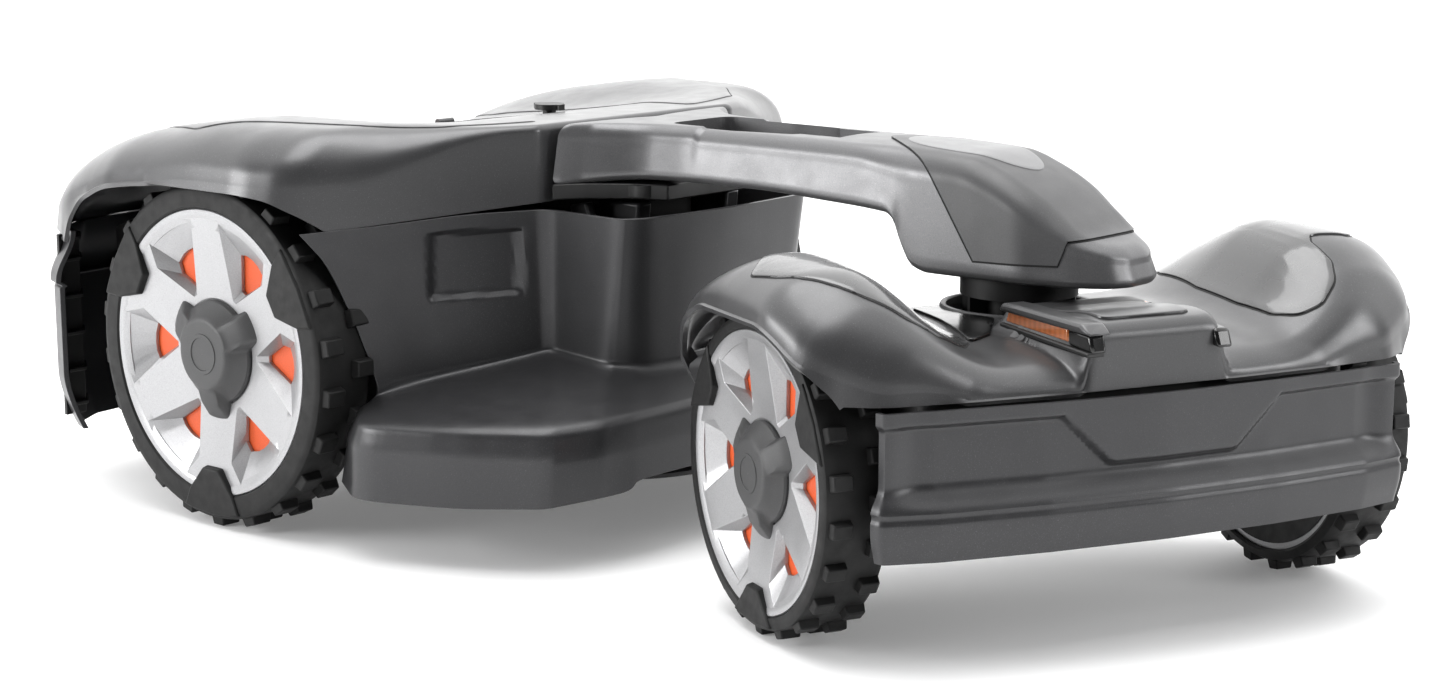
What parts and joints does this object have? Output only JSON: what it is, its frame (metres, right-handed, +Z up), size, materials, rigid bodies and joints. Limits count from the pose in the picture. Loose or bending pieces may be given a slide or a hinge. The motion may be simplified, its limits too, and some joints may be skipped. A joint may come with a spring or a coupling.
{
  "type": "robotic lawn mower",
  "caption": "Articulated four-wheel-drive robotic lawn mower: wide main body with fendered wheels and cutting deck, long carrying arm, steered rear body.",
  "frame": {"origin": "ground level, under the middle of the overall length and width at rest", "axes": "+X forward along the main body, +Y to the mower's left, +Z up"},
  "size_m": [0.9707, 0.55, 0.2869],
  "materials": {
    "shell_graphite": "satin graphite with a fine metallic fleck",
    "chassis_graphite": "satin graphite, finely textured",
    "arm_grey": "satin mid grey with a fine metallic fleck",
    "cap_dark": "fine-grained dark grey",
    "gloss_trim": "glossy graphite",
    "black_plastic": "matt black moulded",
    "stop_red": "semi-gloss red",
    "battery_blue": "matt",
    "board_green": "solder mask",
    "lamp_clear": "clear",
    "lens_amber": "translucent amber lens",
    "contact_metal": "plain",
    "steel": "machined",
    "motor_alu": "cast",
    "tyre_black": "moulded rubber",
    "rim_silver": "satin silver paint",
    "inlay_orange": "matt orange",
    "hub_dark": "matt dark grey"
  },
  "bodies": {
    "main": {"main_chassis": "chassis_graphite", "chassis_lid": "black_plastic", "upper_shell": "shell_graphite", "fender_inserts": "gloss_trim", "control_panel": "black_plastic", "battery_pack": "battery_blue", "main_board": "board_green", "front_lights": "lamp_clear", "charging_contacts": "contact_metal", "guide_posts": "steel", "arm_shell": "arm_grey", "arm_cap": "cap_dark", "arm_foot": "black_plastic", "steering_bearing": "black_plastic", "steering_motor": "motor_alu", "front_left_motor": "motor_alu", "front_right_motor": "motor_alu"},
    "hatch": {"hatch": "shell_graphite"},
    "latch_knob": {"latch_knob": "black_plastic"},
    "stop_button": {"stop_button": "stop_red"},
    "front_bumper": {"front_bumper": "shell_graphite"},
    "cutting_unit": {"cutting_carriage": "black_plastic", "cutting_motor": "motor_alu"},
    "blade_disc": {"blade_disc": "steel", "blade_screws": "steel"},
    "blade_1": {"blade_1": "steel"},
    "blade_2": {"blade_2": "steel"},
    "blade_3": {"blade_3": "steel"},
    "skid_plate": {"skid_plate": "black_plastic"},
    "yoke": {"steering_column": "black_plastic", "steering_gear": "steel"},
    "rear": {"rear_chassis": "black_plastic", "rear_shell": "shell_graphite", "rear_inserts": "gloss_trim", "rear_lid": "shell_graphite", "tail_lens": "lens_amber", "roll_pin": "steel", "rear_left_motor": "motor_alu", "rear_right_motor": "motor_alu"},
    "rear_bumper": {"rear_bumper": "shell_graphite"},
    "front_left_wheel": {"front_left_tyre": "tyre_black", "front_left_rim": "rim_silver", "front_left_inlay": "inlay_orange", "front_left_hub_cap": "hub_dark", "front_left_axle": "steel"},
    "front_right_wheel": {"front_right_tyre": "tyre_black", "front_right_rim": "rim_silver", "front_right_inlay": "inlay_orange", "front_right_hub_cap": "hub_dark", "front_right_axle": "steel"},
    "rear_left_wheel": {"rear_left_tyre": "tyre_black", "rear_left_rim": "rim_silver", "rear_left_inlay": "inlay_orange", "rear_left_hub_cap": "hub_dark", "rear_left_axle": "steel"},
    "rear_right_wheel": {"rear_right_tyre": "tyre_black", "rear_right_rim": "rim_silver", "rear_right_inlay": "inlay_orange", "rear_right_hub_cap": "hub_dark", "rear_right_axle": "steel"}
  },
  "joints": [
    {"name": "steer", "type": "hinge", "parent": "main", "child": "yoke", "pos_m": [-0.26969, 0, 0.22], "axis": [0, 0, 1], "range_deg": [-13.3, 62.7]},
    {"name": "rear_roll", "type": "hinge", "parent": "yoke", "child": "rear", "pos_m": [-0.26969, 0, 0.155], "axis": [0.9085, -0.4179, 0], "range_deg": [-6, 6]},
    {"name": "hatch_hinge", "type": "hinge", "parent": "main", "child": "hatch", "pos_m": [0.29611, 0, 0.2606], "axis": [0, 1, 0], "range_deg": [0, 100]},
    {"name": "latch_turn", "type": "hinge", "parent": "main", "child": "latch_knob", "pos_m": [0.15131, 0, 0.28], "axis": [0, 0, 1], "range_deg": [0, 90]},
    {"name": "stop_press", "type": "slide", "parent": "main", "child": "stop_button", "axis": [0, 0, -1], "range_m": [0, 0.004], "stiffness_N_per_m": 1200},
    {"name": "front_bumper_push", "type": "slide", "parent": "main", "child": "front_bumper", "axis": [-1, 0, 0], "range_m": [0, 0.006], "stiffness_N_per_m": 2000},
    {"name": "rear_bumper_push", "type": "slide", "parent": "rear", "child": "rear_bumper", "axis": [0.9085, -0.4179, 0], "range_m": [0, 0.005], "stiffness_N_per_m": 2000},
    {"name": "cutting_height", "type": "slide", "parent": "main", "child": "cutting_unit", "axis": [0, 0, 1], "range_m": [-0.015, 0.025]},
    {"name": "disc_spin", "type": "hinge", "parent": "cutting_unit", "child": "blade_disc", "pos_m": [0.07531, 0, 0.07], "axis": [0, 0, 1], "continuous": true},
    {"name": "blade_1_swing", "type": "hinge", "parent": "blade_disc", "child": "blade_1", "pos_m": [0.14331, 0, 0.044], "axis": [0, 0, 1], "continuous": true},
    {"name": "blade_2_swing", "type": "hinge", "parent": "blade_disc", "child": "blade_2", "pos_m": [0.04131, 0.05889, 0.044], "axis": [0, 0, 1], "continuous": true},
    {"name": "blade_3_swing", "type": "hinge", "parent": "blade_disc", "child": "blade_3", "pos_m": [0.04131, -0.05889, 0.044], "axis": [0, 0, 1], "continuous": true},
    {"name": "skid_spin", "type": "hinge", "parent": "blade_disc", "child": "skid_plate", "pos_m": [0.07531, 0, 0.034], "axis": [0, 0, 1], "continuous": true},
    {"name": "front_left_spin", "type": "hinge", "parent": "main", "child": "front_left_wheel", "pos_m": [0.23481, 0.235, 0.125], "axis": [0, 1, 0], "continuous": true},
    {"name": "front_right_spin", "type": "hinge", "parent": "main", "child": "front_right_wheel", "pos_m": [0.23481, -0.235, 0.125], "axis": [0, 1, 0], "continuous": true},
    {"name": "rear_left_spin", "type": "hinge", "parent": "rear", "child": "rear_left_wheel", "pos_m": [-0.22922, 0.18612, 0.1016], "axis": [0.4179, 0.9085, 0], "continuous": true},
    {"name": "rear_right_spin", "type": "hinge", "parent": "rear", "child": "rear_right_wheel", "pos_m": [-0.38466, -0.15185, 0.1016], "axis": [0.4179, 0.9085, 0], "continuous": true}
  ]
}
